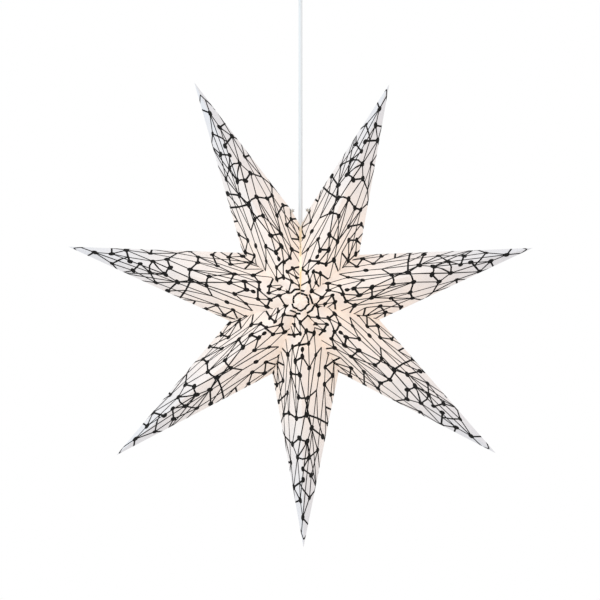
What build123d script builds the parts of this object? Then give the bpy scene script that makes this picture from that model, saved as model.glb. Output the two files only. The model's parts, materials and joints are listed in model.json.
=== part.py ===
import os
from math import atan2, cos, degrees, hypot, radians, sin

from build123d import *

os.makedirs("parts", exist_ok=True)

# Sizes in millimetres. The origin is the point where the lamp hangs on the ceiling's own hook.

# Star of folded paper
STAR_DROP = 456.0
POINT_COUNT = 7
STAR_RADIUS = 300.0
NOTCH_RADIUS = 97.0
HALF_DEPTH = 75.0
PAPER = 0.4
GLUE_GAP = 0.2
GLUE_STRIP = 11.0
APEX_HOLE_RADIUS = 2.0
CORD_HOLE_RADIUS = 3.6
CAP_SLOT_ROOM = 2.0

# Points in order from the seam, with the lean of each tip in degrees and its reach past the star radius
POINT_NAMES = ("top_left", "left", "lower_left", "bottom", "lower_right", "right", "top_right")
TIP_LEANS = (-0.3, -1.4, 0.6, 0.7, 1.4, 1.1, 3.9)
TIP_REACHES = (12.0, 0.5, -4.0, 1.5, 5.5, 0.0, 1.0)

# Notches in order from the seam, with the lean of each in degrees and its reach past the notch radius
NOTCH_LEANS = (0.0, -3.8, -0.6, 3.3, 4.0, 2.6, 2.4)
NOTCH_REACHES = (8.0, 1.0, -6.0, -5.0, -1.0, 3.0, 0.0)

# Hook and loop pads that close the seam
PAD_THICKNESS = 1.0
PAD_LENGTH = 18.0
PAD_WIDTH = 8.0
PAD_GAP = 0.1

# Eyelets beside the cord
EYELET_PLACE = 17.5
EYELET_BORE = 1.3
EYELET_WALL = 0.5
EYELET_LIP = 0.7
EYELET_LENGTH = 5.6
EYELET_STAND_OUT = 1.8
FIT = 0.1

# Wire that carries the star
WIRE_RADIUS = 0.7
WIRE_BEND = 4.0
WIRE_REACH = 11.5
WIRE_STAND_OUT = 3.4

# Cord
CORD_RADIUS = 2.5
CORD_FIT = 0.15
CORE_RADIUS = 0.9
CORE_OFFSET = 1.2
CORE_BEND = 2.5

# Lampholder, heights above the star's centre
SHELL_MOUTH = 18.0
SHELL_TOP = 50.0
SHELL_RADIUS = 14.0
SHELL_WALL = 1.8
SPIGOT_HEIGHT = 6.0
CAP_WALL = 1.6
CAP_STRAIGHT = 9.0
CAP_SHOULDER = 72.0
SHOULDER_RADIUS = 9.5
SHOULDER_SLOPE = 0.3
NECK_RADIUS = 6.2
NECK_TOP = 81.0
BUSH_RADIUS = 4.2
BUSH_FLANGE = 2.0
BUSH_DEPTH = 12.0
BUSH_SCREW_RADIUS = 1.3
BUSH_SCREW_HEIGHT = 78.0
BUSH_SCREW_HEAD = 2.4
CORD_END = 64.0
BLOCK_HEIGHT = 10.0
SLEEVE_RADIUS = 7.3
SLEEVE_WALL = 0.8
SLEEVE_LENGTH = 17.0
LEAF_WIDTH = 5.0
LEAF_LENGTH = 9.0
LEAF_THICKNESS = 0.6
BUTTON_RADIUS = 1.6
BUTTON_DROP = 1.2
SCREW_SPREAD = 6.5
SCREW_RADIUS = 1.5
SCREW_HEAD_RADIUS = 2.6
SCREW_HEAD_HEIGHT = 1.8
SCREW_DEPTH = 5.0

# Bulb
THREAD_RADIUS = 6.9
THREAD_DEPTH = 0.5
THREAD_PITCH = 2.8
THREAD_TURNS = 5
THREAD_ROOT_SHARE = 0.3
THREAD_CREST_SHARES = (0.6, 0.8)
CAP_SKIRT = 3.0
INSULATOR_HEIGHT = 4.0
INSULATOR_TOP_RADIUS = 2.6
TIP_RADIUS = 2.2
TIP_HEIGHT = 1.0
TIP_CLEARANCE = 0.2
BASE_HEIGHT = 20.0
BASE_RADIUS = 17.0
BASE_FLARES = (0.35, 0.1)
GLOBE_RADIUS = 22.5
GLOBE_WALL = 1.2
BOARD_RADIUS = 13.0
BOARD_THICKNESS = 1.2
CHIP_SIZE = 2.8
CHIP_HEIGHT = 0.7
CHIP_COUNT = 8
CHIP_CIRCLE = 8.5

# Ceiling end, heights below or above the hanging point
HOOK_INNER = 5.0
HOOK_OUTER = 9.0
HOOK_THICKNESS = 6.0
HOOK_MOUTH = 6.0
STEM_TOP = -13.0
STEM_BOTTOM = -44.0
STEM_WIDTH = 18.0
STEM_DEPTH = 8.0
BRIDGE_HEIGHT = 6.0
CLAMP_TOP = -28.0
CLAMP_DEPTH = 6.0
CLAMP_GAP = 0.4
CLAMP_SCREW_SPREAD = 6.0
CORD_TOP = -26.0
TERMINAL_SIZE = (20.0, 14.0, 12.0)
TERMINAL_CENTRE = (0.0, -20.0, -20.0)
TERMINAL_ROUND = 1.5
TERMINAL_SPREAD = 5.0
CUP_RIM = 25.0
CUP_BASE = -54.0
CUP_RIM_RADIUS = 46.0
CUP_SHOULDER_RADIUS = 38.0
CUP_SHOULDER = -34.0
CUP_FLAT_RADIUS = 16.0
CUP_WALL = 1.8
GRIP_RADIUS = 5.0
GRIP_FLANGE_RADIUS = 8.0
GRIP_LENGTH = 12.0
GRIP_STEM = 8.0
NUT_RADIUS = 8.0
NUT_HEIGHT = 4.0
GRIP_SCREW_RADIUS = 1.5

# Shared places
STAR_Z = -STAR_DROP
PITCH = 360.0 / POINT_COUNT
SEAM_HALF = PAD_THICKNESS + PAD_GAP
SEAM_NOTCH_RADIUS = NOTCH_RADIUS + NOTCH_REACHES[0]
FRONT = Vector(0, -HALF_DEPTH, STAR_Z)
BACK = Vector(0, HALF_DEPTH, STAR_Z)
CENTRE = Vector(0, 0, STAR_Z)
STRIP_INSET = GLUE_STRIP * hypot(HALF_DEPTH, NOTCH_RADIUS)
WINDOW_RADIUS = NOTCH_RADIUS - STRIP_INSET / HALF_DEPTH
WINDOW_HALF_DEPTH = HALF_DEPTH - STRIP_INSET / NOTCH_RADIUS
EYELET_RADIUS = EYELET_BORE + EYELET_WALL
BUTTON_BOTTOM = STAR_Z + SHELL_TOP - BLOCK_HEIGHT - LEAF_THICKNESS - BUTTON_DROP
BULB_TIP_TOP = BUTTON_BOTTOM - TIP_CLEARANCE
BULB_CAP_TOP = BULB_TIP_TOP - TIP_HEIGHT - INSULATOR_HEIGHT
BULB_CAP_BOTTOM = BULB_CAP_TOP - THREAD_TURNS * THREAD_PITCH - CAP_SKIRT
BASE_BOTTOM = BULB_CAP_BOTTOM - BASE_HEIGHT


def in_star(angle, radius):
    """Point of the star's middle plane at an angle from the right and a distance from its axis."""
    return Vector(radius * cos(radians(angle)), 0, STAR_Z + radius * sin(radians(angle)))


def outline(points):
    """Closed outline of radius and height pairs in the upright plane, for turning about Z."""
    with BuildSketch(Plane.XZ) as face:
        with BuildLine():
            Polyline(*points, close=True)
        make_face()
    return face.sketch


def face_plane(corner, second, third, inside):
    """Plane through three corners with its normal turned away from an inside point."""
    normal = (second - corner).cross(third - corner).normalized()
    if normal.dot(inside - corner) > 0:
        normal = normal * -1
    return Plane(origin=corner, x_dir=second - corner, z_dir=normal)


def moved_in(plane, distance):
    """The same plane, moved against its normal."""
    return Plane(origin=plane.origin - plane.z_dir * distance, x_dir=plane.x_dir, z_dir=plane.z_dir)


def bounded_by(planes):
    """Solid that lies behind all the planes."""
    with BuildPart(Plane(CENTRE)) as block:
        Box(3 * STAR_RADIUS, 3 * HALF_DEPTH, 3 * STAR_RADIUS)
        for plane in planes:
            split(bisect_by=plane, keep=Keep.BOTTOM)
    return block.part


def point_angle(index):
    """Angle of a point of the regular star from the right, counted from the seam at the top."""
    return 90.0 + (index + 0.5) * PITCH


def tip_place(index):
    """Outer end of a point of the star, counted from the seam at the top."""
    return in_star(point_angle(index) + TIP_LEANS[index], STAR_RADIUS + TIP_REACHES[index])


def notch_place(number):
    """Inner corner between two points of the star, counted from the seam at the top."""
    return in_star(90.0 + number * PITCH + NOTCH_LEANS[number], NOTCH_RADIUS + NOTCH_REACHES[number])


def seam_edge(index):
    """Eyelet place on the notch edge of an end point, and the direction out of that edge."""
    tip = tip_place(index)
    notch = notch_place(0)
    along = (tip - notch).normalized()
    side = 1.0 if tip.X < 0 else -1.0
    outward = Vector(side * along.Z, 0, -side * along.X)
    return notch + along * EYELET_PLACE, outward


def finish(piece, name):
    """Name a finished piece and write its file."""
    piece.label = name
    export_step(piece, "parts/" + name + ".step")


# Points of the star, one hollow folded sheet each

with BuildPart() as light_windows:
    with BuildSketch(Plane.XY.offset(STAR_Z)):
        with BuildLine():
            Polyline((0, -WINDOW_HALF_DEPTH), (WINDOW_RADIUS, 0), (0, WINDOW_HALF_DEPTH), close=True)
        make_face()
    revolve(axis=Axis((0, 0, STAR_Z), (0, 1, 0)))


def paper_point(index):
    """Paper shell of one point: four outer faces and two webs with light windows."""
    tip = tip_place(index)
    middle = in_star(point_angle(index), NOTCH_RADIUS / 2)
    sides = (index, (index + 1) % POINT_COUNT)
    planes = []
    for number in sides:
        gap = SEAM_HALF if number == 0 else GLUE_GAP / 2
        notch = notch_place(number)
        planes.append(face_plane(FRONT, notch, tip, middle))
        planes.append(face_plane(BACK, notch, tip, middle))
        planes.append(moved_in(face_plane(FRONT, BACK, notch, middle), gap))
    hollow = bounded_by([moved_in(plane, PAPER) for plane in planes])
    block = bounded_by(planes)
    with BuildPart() as point:
        add(block)
        add(hollow, mode=Mode.SUBTRACT)
        add(light_windows.part, mode=Mode.SUBTRACT)
        with Locations(Location(CENTRE, (90, 0, 0))):
            Cylinder(APEX_HOLE_RADIUS, 3 * HALF_DEPTH, mode=Mode.SUBTRACT)
        if 0 in sides:
            with Locations(notch_place(0)):
                Cylinder(CORD_HOLE_RADIUS, 2 * (SEAM_NOTCH_RADIUS - CAP_SHOULDER), mode=Mode.SUBTRACT)
                slot = 2 * (SEAM_HALF + PAPER + FIT), 2 * (SHELL_RADIUS + CAP_SLOT_ROOM)
                Box(*slot, 2 * (SEAM_NOTCH_RADIUS - SHELL_TOP), mode=Mode.SUBTRACT)
            place, outward = seam_edge(index)
            with Locations(Plane(origin=place, x_dir=(0, 1, 0), z_dir=outward)):
                Cylinder(EYELET_RADIUS + FIT, 2 * EYELET_LENGTH, mode=Mode.SUBTRACT)
    return point.part


for number, name in enumerate(POINT_NAMES):
    finish(paper_point(number), "point_" + name)

# Eyelets in the notch edges of the two end points


def eyelet(index):
    """Short tube with a lip at each end, set through the folded edge."""
    place, outward = seam_edge(index)
    with BuildPart(Plane(origin=place, x_dir=(0, 1, 0), z_dir=outward)) as tube:
        with Locations((0, 0, EYELET_STAND_OUT - EYELET_LENGTH / 2)):
            Cylinder(EYELET_RADIUS, EYELET_LENGTH)
        with Locations((0, 0, EYELET_STAND_OUT - EYELET_LIP / 2)):
            Cylinder(EYELET_RADIUS + EYELET_LIP, EYELET_LIP)
        with Locations((0, 0, EYELET_STAND_OUT - EYELET_LENGTH + EYELET_LIP / 2)):
            Cylinder(EYELET_RADIUS + EYELET_LIP, EYELET_LIP)
        Cylinder(EYELET_BORE, 3 * EYELET_LENGTH, mode=Mode.SUBTRACT)
    return tube.part


finish(eyelet(0), "eyelet_left")
finish(eyelet(POINT_COUNT - 1), "eyelet_right")

# Hook and loop pads on the glue strips of the open seam

STRIP_LENGTH = hypot(HALF_DEPTH, SEAM_NOTCH_RADIUS)
STRIP_ANGLE = degrees(atan2(SEAM_NOTCH_RADIUS, HALF_DEPTH))
PAD_Y = HALF_DEPTH / 2 - GLUE_STRIP / 2 * SEAM_NOTCH_RADIUS / STRIP_LENGTH
PAD_Z = STAR_Z + SEAM_NOTCH_RADIUS / 2 - GLUE_STRIP / 2 * HALF_DEPTH / STRIP_LENGTH
PAD_PLACES = (Location((-PAD_Y, PAD_Z), STRIP_ANGLE), Location((PAD_Y, PAD_Z), -STRIP_ANGLE))

with BuildPart() as seam_hook_pads:
    with BuildSketch(Plane.YZ.offset(-PAD_GAP / 2)):
        with Locations(*PAD_PLACES):
            Rectangle(PAD_LENGTH, PAD_WIDTH)
    extrude(amount=-PAD_THICKNESS)
finish(seam_hook_pads.part, "seam_hook_pads")

with BuildPart() as seam_loop_pads:
    with BuildSketch(Plane.YZ.offset(PAD_GAP / 2)):
        with Locations(*PAD_PLACES):
            Rectangle(PAD_LENGTH, PAD_WIDTH)
    extrude(amount=PAD_THICKNESS)
finish(seam_loop_pads.part, "seam_loop_pads")

# Wire hanger: a ring round the holder's neck and two arms that hook into the eyelets

WIRE_RING_RADIUS = NECK_RADIUS + WIRE_RADIUS + CORD_FIT
WIRE_RING_Z = STAR_Z + CAP_SHOULDER + WIRE_RADIUS + CORD_FIT


def wire_arm(index):
    """Centre line of one arm, from the ring to its hooked end."""
    place, outward = seam_edge(index)
    side = -1.0 if place.X < 0 else 1.0
    bend = place - outward * WIRE_REACH
    start = Vector(side * WIRE_RING_RADIUS, 0, WIRE_RING_Z)
    knee = Vector(bend.X, 0, WIRE_RING_Z + WIRE_BEND * 2)
    end = place + outward * WIRE_STAND_OUT
    with BuildLine() as centre_line:
        FilletPolyline(start, knee, bend, end, radius=WIRE_BEND)
    return centre_line.line


with BuildPart() as wire_hanger:
    with BuildSketch(Plane.YZ):
        with Locations((WIRE_RING_RADIUS, WIRE_RING_Z)):
            Circle(WIRE_RADIUS)
    revolve(axis=Axis.Z)
    for arm in (wire_arm(0), wire_arm(POINT_COUNT - 1)):
        with BuildSketch(Plane(origin=arm @ 0, z_dir=arm % 0)):
            Circle(WIRE_RADIUS)
        sweep(path=arm)
finish(wire_hanger.part, "wire_hanger")

# Lampholder

SHELL_INNER = SHELL_RADIUS - SHELL_WALL
SPIGOT_RADIUS = SHELL_RADIUS - CAP_WALL - FIT
CAP_INNER = SHELL_RADIUS - CAP_WALL
BLOCK_BOTTOM = STAR_Z + SHELL_TOP - BLOCK_HEIGHT

with BuildPart() as holder_cap:
    with BuildSketch(Plane.XZ):
        with BuildLine():
            low = STAR_Z + SHELL_TOP
            high = STAR_Z + CAP_SHOULDER
            bend = low + CAP_STRAIGHT
            Line((CAP_INNER, low), (SHELL_RADIUS, low))
            Line((SHELL_RADIUS, low), (SHELL_RADIUS, bend))
            Spline(
                (SHELL_RADIUS, bend),
                (SHOULDER_RADIUS, high),
                tangents=((0, 1), (-1, SHOULDER_SLOPE)),
            )
            Line((SHOULDER_RADIUS, high), (NECK_RADIUS, high))
            Line((NECK_RADIUS, high), (NECK_RADIUS, STAR_Z + NECK_TOP))
            Line((NECK_RADIUS, STAR_Z + NECK_TOP), (BUSH_RADIUS + FIT, STAR_Z + NECK_TOP))
            Line((BUSH_RADIUS + FIT, STAR_Z + NECK_TOP), (BUSH_RADIUS + FIT, high - CAP_WALL))
            Line((BUSH_RADIUS + FIT, high - CAP_WALL), (SHOULDER_RADIUS - CAP_WALL, high - CAP_WALL))
            Spline(
                (SHOULDER_RADIUS - CAP_WALL, high - CAP_WALL),
                (CAP_INNER, bend),
                tangents=((1, -SHOULDER_SLOPE), (0, -1)),
            )
            Line((CAP_INNER, bend), (CAP_INNER, low))
        make_face()
    revolve(axis=Axis.Z)
    with Locations(Location((0, -NECK_RADIUS, STAR_Z + BUSH_SCREW_HEIGHT), (90, 0, 0))):
        Cylinder(BUSH_SCREW_RADIUS + FIT, 2 * NECK_RADIUS, mode=Mode.SUBTRACT)
finish(holder_cap.part, "holder_cap")

with BuildPart() as cord_bush:
    top = STAR_Z + NECK_TOP
    revolve(
        outline(
            [
                (CORD_RADIUS + CORD_FIT, top - BUSH_DEPTH),
                (BUSH_RADIUS, top - BUSH_DEPTH),
                (BUSH_RADIUS, top),
                (NECK_RADIUS, top),
                (NECK_RADIUS, top + BUSH_FLANGE),
                (CORD_RADIUS + CORD_FIT, top + BUSH_FLANGE),
            ]
        ),
        axis=Axis.Z,
    )
    with Locations(Location((0, -NECK_RADIUS, STAR_Z + BUSH_SCREW_HEIGHT), (90, 0, 0))):
        Cylinder(BUSH_SCREW_RADIUS + FIT, 2 * NECK_RADIUS, mode=Mode.SUBTRACT)
finish(cord_bush.part, "cord_bush")

with BuildPart() as bush_screw:
    shank_end = CORD_RADIUS + CORD_FIT
    shank_length = NECK_RADIUS + FIT - shank_end
    shank_middle = shank_end + shank_length / 2
    head_middle = NECK_RADIUS + FIT + SCREW_HEAD_HEIGHT / 2
    with Locations(Location((0, -shank_middle, STAR_Z + BUSH_SCREW_HEIGHT), (90, 0, 0))):
        Cylinder(BUSH_SCREW_RADIUS, shank_length)
    with Locations(Location((0, -head_middle, STAR_Z + BUSH_SCREW_HEIGHT), (90, 0, 0))):
        Cylinder(BUSH_SCREW_HEAD, SCREW_HEAD_HEIGHT)
finish(bush_screw.part, "bush_screw")

with BuildPart() as holder_shell:
    revolve(
        outline(
            [
                (SHELL_INNER, STAR_Z + SHELL_MOUTH),
                (SHELL_RADIUS, STAR_Z + SHELL_MOUTH),
                (SHELL_RADIUS, STAR_Z + SHELL_TOP - FIT),
                (SPIGOT_RADIUS, STAR_Z + SHELL_TOP - FIT),
                (SPIGOT_RADIUS, STAR_Z + SHELL_TOP + SPIGOT_HEIGHT),
                (SPIGOT_RADIUS - CAP_WALL, STAR_Z + SHELL_TOP + SPIGOT_HEIGHT),
                (SPIGOT_RADIUS - CAP_WALL, STAR_Z + SHELL_TOP),
                (SHELL_INNER, STAR_Z + SHELL_TOP - CAP_WALL),
            ]
        ),
        axis=Axis.Z,
    )
    fillet(holder_shell.edges().group_by(Axis.Z)[0].sort_by(SortBy.RADIUS)[-1], SHELL_WALL / 3)
finish(holder_shell.part, "holder_shell")

with BuildPart() as contact_block:
    with Locations((0, 0, BLOCK_BOTTOM + BLOCK_HEIGHT / 2)):
        Cylinder(SPIGOT_RADIUS - CAP_WALL - FIT, BLOCK_HEIGHT)
    with Locations((-SCREW_SPREAD, 0, STAR_Z + SHELL_TOP), (SCREW_SPREAD, 0, STAR_Z + SHELL_TOP)):
        Cylinder(SCREW_RADIUS + FIT, 2 * (SCREW_DEPTH + FIT), mode=Mode.SUBTRACT)
finish(contact_block.part, "contact_block")

with BuildPart() as terminal_screws:
    with Locations((-SCREW_SPREAD, 0), (SCREW_SPREAD, 0)):
        with Locations((0, 0, STAR_Z + SHELL_TOP - SCREW_DEPTH / 2)):
            Cylinder(SCREW_RADIUS, SCREW_DEPTH)
        with Locations((0, 0, STAR_Z + SHELL_TOP + SCREW_HEAD_HEIGHT / 2)):
            Cylinder(SCREW_HEAD_RADIUS, SCREW_HEAD_HEIGHT)
finish(terminal_screws.part, "terminal_screws")

with BuildPart() as screw_sleeve:
    with Locations((0, 0, BLOCK_BOTTOM - SLEEVE_LENGTH / 2)):
        Cylinder(SLEEVE_RADIUS + SLEEVE_WALL, SLEEVE_LENGTH)
        Cylinder(SLEEVE_RADIUS, SLEEVE_LENGTH, mode=Mode.SUBTRACT)
finish(screw_sleeve.part, "screw_sleeve")

with BuildPart() as centre_contact:
    with Locations((0, 0, BLOCK_BOTTOM - LEAF_THICKNESS / 2)):
        Box(LEAF_LENGTH, LEAF_WIDTH, LEAF_THICKNESS)
    with Locations((0, 0, BLOCK_BOTTOM - LEAF_THICKNESS - BUTTON_DROP / 2)):
        Cylinder(BUTTON_RADIUS, BUTTON_DROP)
finish(centre_contact.part, "centre_contact")


def holder_core(side):
    """Insulated core from the end of the cord to one terminal screw."""
    head = STAR_Z + SHELL_TOP + SCREW_HEAD_HEIGHT + FIT
    top = STAR_Z + CORD_END - FIT
    third = (top - head) / 3
    start = Vector(side * CORE_OFFSET, 0, top)
    end = Vector(side * SCREW_SPREAD, 0, head)
    with BuildLine() as centre_line:
        FilletPolyline(
            start,
            start - Vector(0, 0, third),
            end + Vector(0, 0, third),
            end,
            radius=CORE_BEND,
        )
    with BuildPart() as core:
        with BuildSketch(Plane(origin=start, z_dir=(0, 0, -1))):
            Circle(CORE_RADIUS)
        sweep(path=centre_line.line)
    return core.part


finish(holder_core(-1), "live_core")
finish(holder_core(1), "neutral_core")

# Bulb

with BuildPart() as bulb_cap:
    root = THREAD_RADIUS - THREAD_DEPTH
    ridges = [
        (0, BULB_CAP_BOTTOM),
        (THREAD_RADIUS, BULB_CAP_BOTTOM),
        (THREAD_RADIUS, BULB_CAP_BOTTOM + CAP_SKIRT),
    ]
    for turn in range(THREAD_TURNS):
        foot = BULB_CAP_BOTTOM + CAP_SKIRT + turn * THREAD_PITCH
        ridges.append((root, foot + THREAD_PITCH * THREAD_ROOT_SHARE))
        for share in THREAD_CREST_SHARES:
            ridges.append((THREAD_RADIUS, foot + THREAD_PITCH * share))
    ridges.append((root - THREAD_DEPTH, BULB_CAP_TOP))
    ridges.append((0, BULB_CAP_TOP))
    revolve(outline(ridges), axis=Axis.Z)
finish(bulb_cap.part, "bulb_cap")

with BuildPart() as bulb_insulator:
    revolve(
        outline(
            [
                (0, BULB_CAP_TOP),
                (THREAD_RADIUS - 2 * THREAD_DEPTH, BULB_CAP_TOP),
                (INSULATOR_TOP_RADIUS, BULB_CAP_TOP + INSULATOR_HEIGHT),
                (0, BULB_CAP_TOP + INSULATOR_HEIGHT),
            ]
        ),
        axis=Axis.Z,
    )
finish(bulb_insulator.part, "bulb_insulator")

with BuildPart() as bulb_tip:
    with Locations((0, 0, BULB_TIP_TOP - TIP_HEIGHT / 2)):
        Cylinder(TIP_RADIUS, TIP_HEIGHT)
    fillet(bulb_tip.edges().sort_by(Axis.Z)[-1], TIP_HEIGHT / 2)
finish(bulb_tip.part, "bulb_tip")

with BuildPart() as bulb_base:
    with BuildSketch(Plane.XZ):
        with BuildLine():
            Line((0, BASE_BOTTOM), (BASE_RADIUS, BASE_BOTTOM))
            Spline(
                (BASE_RADIUS, BASE_BOTTOM),
                (THREAD_RADIUS + THREAD_DEPTH, BULB_CAP_BOTTOM),
                tangents=[(-flare, 1) for flare in BASE_FLARES],
            )
            Line((THREAD_RADIUS + THREAD_DEPTH, BULB_CAP_BOTTOM), (0, BULB_CAP_BOTTOM))
            Line((0, BULB_CAP_BOTTOM), (0, BASE_BOTTOM))
        make_face()
    revolve(axis=Axis.Z)
finish(bulb_base.part, "bulb_base")

GLOBE_Z = BASE_BOTTOM - (GLOBE_RADIUS**2 - BASE_RADIUS**2) ** 0.5

with BuildPart() as bulb_globe:
    with Locations((0, 0, GLOBE_Z)):
        Sphere(GLOBE_RADIUS)
        Sphere(GLOBE_RADIUS - GLOBE_WALL, mode=Mode.SUBTRACT)
    split(bisect_by=Plane.XY.offset(BASE_BOTTOM), keep=Keep.BOTTOM)
finish(bulb_globe.part, "bulb_globe")

with BuildPart() as led_board:
    with Locations((0, 0, BASE_BOTTOM - BOARD_THICKNESS / 2)):
        Cylinder(BOARD_RADIUS, BOARD_THICKNESS)
finish(led_board.part, "led_board")

with BuildPart() as led_chips:
    with Locations((0, 0, BASE_BOTTOM - BOARD_THICKNESS - CHIP_HEIGHT / 2)):
        with PolarLocations(CHIP_CIRCLE, CHIP_COUNT):
            Box(CHIP_SIZE, CHIP_SIZE, CHIP_HEIGHT)
finish(led_chips.part, "led_chips")

# Cord

CORD_BOTTOM = STAR_Z + CORD_END

with BuildPart() as cord:
    with Locations((0, 0, (CORD_TOP + CORD_BOTTOM) / 2)):
        Cylinder(CORD_RADIUS, CORD_TOP - CORD_BOTTOM)
finish(cord.part, "cord")

# Suspension hook and clamp that carry the cord

CLAMP_HEIGHT = CLAMP_TOP - STEM_BOTTOM
CLAMP_SCREW_Z = (CLAMP_TOP + STEM_BOTTOM) / 2
CLAMP_SCREW_PLACES = (
    Location((-CLAMP_SCREW_SPREAD, CLAMP_SCREW_Z)),
    Location((CLAMP_SCREW_SPREAD, CLAMP_SCREW_Z)),
)

with BuildPart() as suspension_hook:
    with BuildSketch(Plane.XZ.offset(-HOOK_THICKNESS / 2)):
        with Locations((0, -HOOK_INNER)):
            Circle(HOOK_OUTER)
            Circle(HOOK_INNER, mode=Mode.SUBTRACT)
            Rectangle(2 * HOOK_OUTER, HOOK_MOUTH, align=(Align.MIN, Align.CENTER), mode=Mode.SUBTRACT)
    extrude(amount=HOOK_THICKNESS)
    with Locations((0, STEM_DEPTH / 2 - HOOK_THICKNESS / 4, STEM_TOP - BRIDGE_HEIGHT / 2)):
        Box(STEM_WIDTH, STEM_DEPTH + HOOK_THICKNESS / 2, BRIDGE_HEIGHT)
    with Locations((0, STEM_DEPTH / 2 + CLAMP_GAP / 2, (STEM_TOP + STEM_BOTTOM) / 2)):
        Box(STEM_WIDTH, STEM_DEPTH - CLAMP_GAP, STEM_TOP - STEM_BOTTOM)
    with Locations((0, 0, STEM_BOTTOM)):
        Cylinder(CORD_RADIUS + FIT, 2 * (STEM_TOP - BRIDGE_HEIGHT - STEM_BOTTOM), mode=Mode.SUBTRACT)
    with BuildSketch(Plane.XZ):
        with Locations(*CLAMP_SCREW_PLACES):
            Circle(SCREW_RADIUS + FIT)
    extrude(amount=-STEM_DEPTH, mode=Mode.SUBTRACT)
finish(suspension_hook.part, "suspension_hook")

with BuildPart() as clamp_plate:
    with Locations((0, -CLAMP_DEPTH / 2 - CLAMP_GAP / 2, CLAMP_SCREW_Z)):
        Box(STEM_WIDTH, CLAMP_DEPTH, CLAMP_HEIGHT)
    with Locations((0, 0, CLAMP_SCREW_Z)):
        Cylinder(CORD_RADIUS + FIT, 2 * CLAMP_HEIGHT, mode=Mode.SUBTRACT)
    with BuildSketch(Plane.XZ):
        with Locations(*CLAMP_SCREW_PLACES):
            Circle(SCREW_RADIUS + FIT)
    extrude(amount=2 * CLAMP_DEPTH, mode=Mode.SUBTRACT)
finish(clamp_plate.part, "clamp_plate")

with BuildPart() as clamp_screws:
    with BuildSketch(Plane.XZ.offset(CLAMP_DEPTH + CLAMP_GAP / 2)):
        with Locations(*CLAMP_SCREW_PLACES):
            Circle(SCREW_RADIUS)
    extrude(amount=-(CLAMP_DEPTH + STEM_DEPTH - CLAMP_GAP))
    with BuildSketch(Plane.XZ.offset(CLAMP_DEPTH + CLAMP_GAP / 2)):
        with Locations(*CLAMP_SCREW_PLACES):
            Circle(SCREW_HEAD_RADIUS)
    extrude(amount=SCREW_HEAD_HEIGHT)
finish(clamp_screws.part, "clamp_screws")

# Terminal block in the ceiling cup, fed by the cord's two cores

TERMINAL_BACK = TERMINAL_CENTRE[1] + TERMINAL_SIZE[1] / 2
TERMINAL_TOP = TERMINAL_CENTRE[2] + TERMINAL_SIZE[2] / 2
TERMINAL_SCREW_ROWS = (
    Location((-TERMINAL_SPREAD, TERMINAL_CENTRE[1] - TERMINAL_SIZE[1] / 4)),
    Location((TERMINAL_SPREAD, TERMINAL_CENTRE[1] - TERMINAL_SIZE[1] / 4)),
    Location((-TERMINAL_SPREAD, TERMINAL_CENTRE[1] + TERMINAL_SIZE[1] / 4)),
    Location((TERMINAL_SPREAD, TERMINAL_CENTRE[1] + TERMINAL_SIZE[1] / 4)),
)

with BuildPart() as terminal_block:
    with Locations(TERMINAL_CENTRE):
        Box(*TERMINAL_SIZE)
    fillet(terminal_block.edges().filter_by(Axis.Z), TERMINAL_ROUND)
    with BuildSketch(Plane.XY.offset(TERMINAL_TOP)):
        with Locations(*TERMINAL_SCREW_ROWS):
            Circle(SCREW_RADIUS + FIT)
    extrude(amount=-SCREW_DEPTH, mode=Mode.SUBTRACT)
    with BuildSketch(Plane.XZ.offset(-TERMINAL_BACK)):
        with Locations((-TERMINAL_SPREAD, TERMINAL_CENTRE[2]), (TERMINAL_SPREAD, TERMINAL_CENTRE[2])):
            Circle(CORE_RADIUS + FIT)
    extrude(amount=TERMINAL_SIZE[1] / 4 - SCREW_RADIUS - FIT, mode=Mode.SUBTRACT)
finish(terminal_block.part, "terminal_block")

with BuildPart() as block_screws:
    with BuildSketch(Plane.XY.offset(TERMINAL_TOP)):
        with Locations(*TERMINAL_SCREW_ROWS):
            Circle(SCREW_RADIUS)
    extrude(amount=-SCREW_DEPTH + FIT)
    with BuildSketch(Plane.XY.offset(TERMINAL_TOP)):
        with Locations(*TERMINAL_SCREW_ROWS):
            Circle(SCREW_HEAD_RADIUS)
    extrude(amount=SCREW_HEAD_HEIGHT)
finish(block_screws.part, "block_screws")


def ceiling_lead(side):
    """Core from the top of the cord forward into the terminal block."""
    start = Vector(side * CORE_OFFSET, 0, CORD_TOP + FIT)
    end = Vector(side * TERMINAL_SPREAD, TERMINAL_BACK - TERMINAL_SIZE[1] / 8, TERMINAL_CENTRE[2])
    corner = Vector(side * CORE_OFFSET, 0, TERMINAL_CENTRE[2])
    turn = Vector(side * TERMINAL_SPREAD, TERMINAL_BACK / 2, TERMINAL_CENTRE[2])
    with BuildLine() as centre_line:
        FilletPolyline(start, corner, turn, end, radius=CORE_BEND)
    with BuildPart() as lead:
        with BuildSketch(Plane(origin=start, z_dir=(0, 0, 1))):
            Circle(CORE_RADIUS)
        sweep(path=centre_line.line)
    return lead.part


finish(ceiling_lead(-1), "live_lead")
finish(ceiling_lead(1), "neutral_lead")

# Ceiling cup with its cord grip

GRIP_TOP = CUP_BASE + GRIP_STEM
GRIP_BOTTOM = CUP_BASE - GRIP_LENGTH
GRIP_SCREW_Z = CUP_BASE - GRIP_LENGTH / 2

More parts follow.
